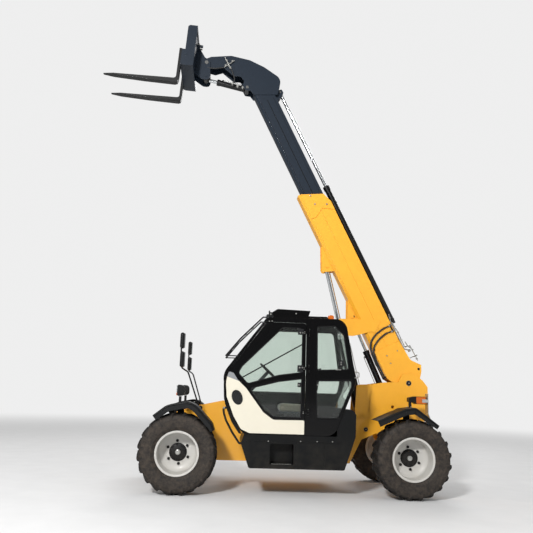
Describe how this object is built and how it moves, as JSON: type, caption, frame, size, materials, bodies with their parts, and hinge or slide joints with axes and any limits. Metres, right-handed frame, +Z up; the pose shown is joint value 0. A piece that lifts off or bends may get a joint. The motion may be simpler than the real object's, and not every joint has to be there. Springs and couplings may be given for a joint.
{
  "type": "telehandler",
  "caption": "Wheeled telescopic handler: side cab, rear pivoted two part boom, gooseneck head and a tilting carriage with lifting forks; all wheels steer.",
  "frame": {"origin": "on the ground, in the middle of the machine's whole length with the boom raised, and of its width", "axes": "+X forward, +Y to the machine's left, +Z up"},
  "size_m": [5.8366, 2.25, 7.9216],
  "materials": {
    "yellow_paint": "gloss",
    "slate_paint": "satin",
    "black_paint": "gloss",
    "cream_paint": "gloss",
    "rim_paint": "satin",
    "hub_paint": "satin",
    "tyre": "matte",
    "tinted_glass": "gloss",
    "black_plastic": "matte",
    "hose_rubber": "matte",
    "rod_chrome": "polished",
    "pin_steel": "brushed",
    "fork_steel": "satin",
    "guard_steel": "brushed",
    "pad_plastic": "matte",
    "engine_iron": "matte",
    "seat_fabric": "woven",
    "beacon_lens": "gloss"
  },
  "bodies": {
    "chassis": {"beacon": "beacon_lens", "cab_frame": "black_paint", "cab_glass": "tinted_glass", "cab_panels": "black_paint", "cab_roof": "black_paint", "chassis_frame": "yellow_paint", "counterweight": "slate_paint", "dashboard": "black_plastic", "engine_bay": "yellow_paint", "engine_block": "engine_iron", "front_axle": "yellow_paint", "lamp_arms": "yellow_paint", "lamp_guards": "guard_steel", "lamps": "black_plastic", "mirrors": "black_paint", "pivot_pins": "pin_steel", "rear_axle": "yellow_paint", "seat_base": "black_plastic", "seat_cushions": "seat_fabric", "side_skirt": "black_paint", "steering_wheel": "black_plastic", "windscreen_guard": "black_paint"},
    "knuckle_fl": {"knuckle_fl": "hub_paint", "fender_fl": "black_plastic"},
    "wheel_fl": {"tyre_fl": "tyre", "wheel_fl": "rim_paint"},
    "knuckle_fr": {"knuckle_fr": "hub_paint", "fender_fr": "black_plastic"},
    "wheel_fr": {"tyre_fr": "tyre", "wheel_fr": "rim_paint"},
    "knuckle_rl": {"knuckle_rl": "hub_paint", "fender_rl": "black_plastic"},
    "wheel_rl": {"tyre_rl": "tyre", "wheel_rl": "rim_paint"},
    "knuckle_rr": {"knuckle_rr": "hub_paint", "fender_rr": "black_plastic"},
    "wheel_rr": {"tyre_rr": "tyre", "wheel_rr": "rim_paint"},
    "cab_door": {"door_frame": "black_paint", "door_panel": "cream_paint", "door_glass": "tinted_glass", "door_handle": "black_plastic"},
    "hood": {"engine_hood": "yellow_paint"},
    "boom_outer": {"boom_outer": "yellow_paint", "nose_pads": "pad_plastic", "extension_barrel": "yellow_paint", "boom_pipes": "pin_steel", "boom_hoses": "hose_rubber"},
    "boom_inner": {"boom_inner": "slate_paint", "wear_pads": "pad_plastic", "extension_rod": "rod_chrome", "boom_head": "slate_paint"},
    "carriage": {"fork_carriage": "slate_paint", "forks": "fork_steel"},
    "lift_barrel": {"lift_barrel": "yellow_paint"},
    "lift_rod": {"lift_rod": "rod_chrome"},
    "level_barrel": {"level_barrel": "yellow_paint"},
    "level_rod": {"level_rod": "rod_chrome"},
    "tilt_barrel": {"tilt_barrel": "slate_paint"},
    "tilt_rod": {"tilt_rod": "rod_chrome"}
  },
  "joints": [
    {"name": "steer_fl", "type": "hinge", "parent": "chassis", "child": "knuckle_fl", "pos_m": [1.189, 0.65, 0.5875], "axis": [0, 0, 1], "range_deg": [-30, 30]},
    {"name": "spin_fl", "type": "hinge", "parent": "knuckle_fl", "child": "wheel_fl", "pos_m": [1.189, 0.922, 0.5875], "axis": [0, 1, 0], "continuous": true},
    {"name": "steer_fr", "type": "hinge", "parent": "chassis", "child": "knuckle_fr", "pos_m": [1.189, -0.65, 0.5875], "axis": [0, 0, 1], "range_deg": [-30, 30]},
    {"name": "spin_fr", "type": "hinge", "parent": "knuckle_fr", "child": "wheel_fr", "pos_m": [1.189, -0.922, 0.5875], "axis": [0, 1, 0], "continuous": true},
    {"name": "steer_rl", "type": "hinge", "parent": "chassis", "child": "knuckle_rl", "pos_m": [-2.331, 0.65, 0.5875], "axis": [0, 0, 1], "range_deg": [-30, 30]},
    {"name": "spin_rl", "type": "hinge", "parent": "knuckle_rl", "child": "wheel_rl", "pos_m": [-2.331, 0.922, 0.5875], "axis": [0, 1, 0], "continuous": true},
    {"name": "steer_rr", "type": "hinge", "parent": "chassis", "child": "knuckle_rr", "pos_m": [-2.331, -0.65, 0.5875], "axis": [0, 0, 1], "range_deg": [-30, 30]},
    {"name": "spin_rr", "type": "hinge", "parent": "knuckle_rr", "child": "wheel_rr", "pos_m": [-2.331, -0.922, 0.5875], "axis": [0, 1, 0], "continuous": true},
    {"name": "door_swing", "type": "hinge", "parent": "chassis", "child": "cab_door", "pos_m": [-0.729, 1.108, 1.8], "axis": [0, 0, 1], "range_deg": [0, 100]},
    {"name": "hood_lift", "type": "hinge", "parent": "chassis", "child": "hood", "pos_m": [-0.571, -0.276, 1.412], "axis": [-1, 0, 0], "range_deg": [0, 60]},
    {"name": "boom_lift", "type": "hinge", "parent": "chassis", "child": "boom_outer", "pos_m": [-2.54, -0.06, 1.726], "axis": [0, -1, 0], "range_deg": [-66, 1.5]},
    {"name": "boom_extend", "type": "slide", "parent": "boom_outer", "child": "boom_inner", "axis": [0.4446, 0, 0.8957], "range_m": [-1.85, 0.05]},
    {"name": "carriage_tilt", "type": "hinge", "parent": "boom_inner", "child": "carriage", "pos_m": [1.13094, -0.06, 7.40279], "axis": [0, 1, 0], "range_deg": [-72, 35]},
    {"name": "lift_swing", "type": "hinge", "parent": "chassis", "child": "lift_barrel", "pos_m": [-1.812, -0.06, 0.955], "axis": [0, -1, 0], "range_deg": [-65.98, 1.6]},
    {"name": "lift_stroke", "type": "slide", "parent": "lift_barrel", "child": "lift_rod", "axis": [0.233, 0, 0.9725], "range_m": [-1.15605, 0.02725]},
    {"name": "level_swing", "type": "hinge", "parent": "chassis", "child": "level_barrel", "pos_m": [-2.261, -0.06, 1.33], "axis": [0, -1, 0], "range_deg": [-67.01, 1.62]},
    {"name": "level_stroke", "type": "slide", "parent": "level_barrel", "child": "level_rod", "axis": [0.4023, 0, 0.9155], "range_m": [-0.52824, 0.01298]},
    {"name": "tilt_swing", "type": "hinge", "parent": "boom_inner", "child": "tilt_barrel", "pos_m": [0.367, -0.06, 6.97037], "axis": [0, 1, 0], "range_deg": [-3.7, 1.85]},
    {"name": "tilt_stroke", "type": "slide", "parent": "tilt_barrel", "child": "tilt_rod", "axis": [0.9779, 0, 0.2092], "range_m": [-0.14382, 0.2948]}
  ],
  "couplings": [
    {"joint": "steer_fr", "follows": "steer_fl", "ratio": 1},
    {"joint": "steer_rr", "follows": "steer_rl", "ratio": 1},
    {"joint": "lift_swing", "follows": "boom_lift", "ratio": 0.99819},
    {"joint": "lift_stroke", "follows": "boom_lift", "m_per_rad": 1.0027},
    {"joint": "level_swing", "follows": "boom_lift", "ratio": 1.0137},
    {"joint": "level_stroke", "follows": "boom_lift", "m_per_rad": 0.4577},
    {"joint": "tilt_swing", "follows": "carriage_tilt", "ratio": 0.05},
    {"joint": "tilt_stroke", "follows": "carriage_tilt", "m_per_rad": -0.2338}
  ]
}
